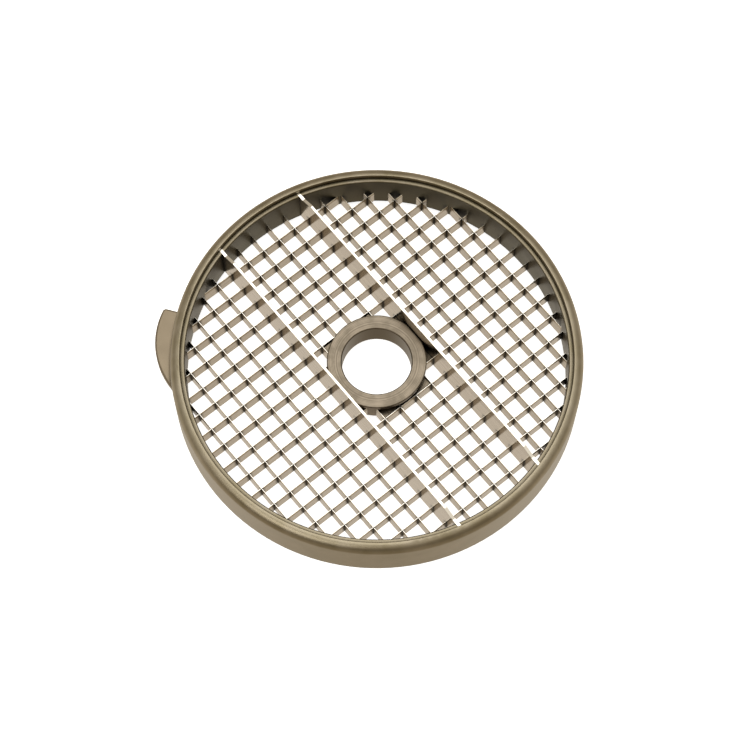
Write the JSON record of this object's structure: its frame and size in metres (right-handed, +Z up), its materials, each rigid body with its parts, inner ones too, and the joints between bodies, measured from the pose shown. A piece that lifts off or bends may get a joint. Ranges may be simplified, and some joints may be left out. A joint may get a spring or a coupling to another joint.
{
  "type": "vegetable dicing grid",
  "caption": "Round dicing grid for a vegetable preparation machine: a cast ring with a side lug, a hub with a wide bore, tall ribs and a square lattice of thin blades.",
  "frame": {"origin": "on the bore axis, in the plane of the blades' lower edges, where the bore's wall begins", "axes": "+Z up along the bore axis, towards the cutting edges and the flange; +X along the ribs and the long blades; +Y along the cross blades"},
  "size_m": [0.205, 0.205, 0.028],
  "materials": {
    "ring_casting": "satin, bead blasted casting",
    "hub_metal": "satin, turned",
    "rib_steel": "polished strip",
    "blade_steel": "brushed, sharpened upper edge"
  },
  "bodies": {
    "root": {"cross_blade_left_1_front": "blade_steel", "cross_blade_left_1_rear": "blade_steel", "cross_blade_left_2_front": "blade_steel", "cross_blade_left_2_rear": "blade_steel", "cross_blade_left_3": "blade_steel", "cross_blade_left_4": "blade_steel", "cross_blade_left_5": "blade_steel", "cross_blade_left_6": "blade_steel", "cross_blade_left_7": "blade_steel", "cross_blade_left_8": "blade_steel", "cross_blade_left_9": "blade_steel", "cross_blade_right_1_front": "blade_steel", "cross_blade_right_1_rear": "blade_steel", "cross_blade_right_2_front": "blade_steel", "cross_blade_right_2_rear": "blade_steel", "cross_blade_right_3": "blade_steel", "cross_blade_right_4": "blade_steel", "cross_blade_right_5": "blade_steel", "cross_blade_right_6": "blade_steel", "cross_blade_right_7": "blade_steel", "cross_blade_right_8": "blade_steel", "cross_blade_right_9": "blade_steel", "hub": "hub_metal", "long_blade_front_1_left": "blade_steel", "long_blade_front_1_right": "blade_steel", "long_blade_front_2_left": "blade_steel", "long_blade_front_2_right": "blade_steel", "long_blade_front_4": "blade_steel", "long_blade_front_5": "blade_steel", "long_blade_front_6": "blade_steel", "long_blade_front_7": "blade_steel", "long_blade_front_8": "blade_steel", "long_blade_front_9": "blade_steel", "long_blade_rear_1_left": "blade_steel", "long_blade_rear_1_right": "blade_steel", "long_blade_rear_2_left": "blade_steel", "long_blade_rear_2_right": "blade_steel", "long_blade_rear_4": "blade_steel", "long_blade_rear_5": "blade_steel", "long_blade_rear_6": "blade_steel", "long_blade_rear_7": "blade_steel", "long_blade_rear_8": "blade_steel", "long_blade_rear_9": "blade_steel", "rib_front": "rib_steel", "rib_rear": "rib_steel", "ring": "ring_casting"}
  },
  "joints": []
}
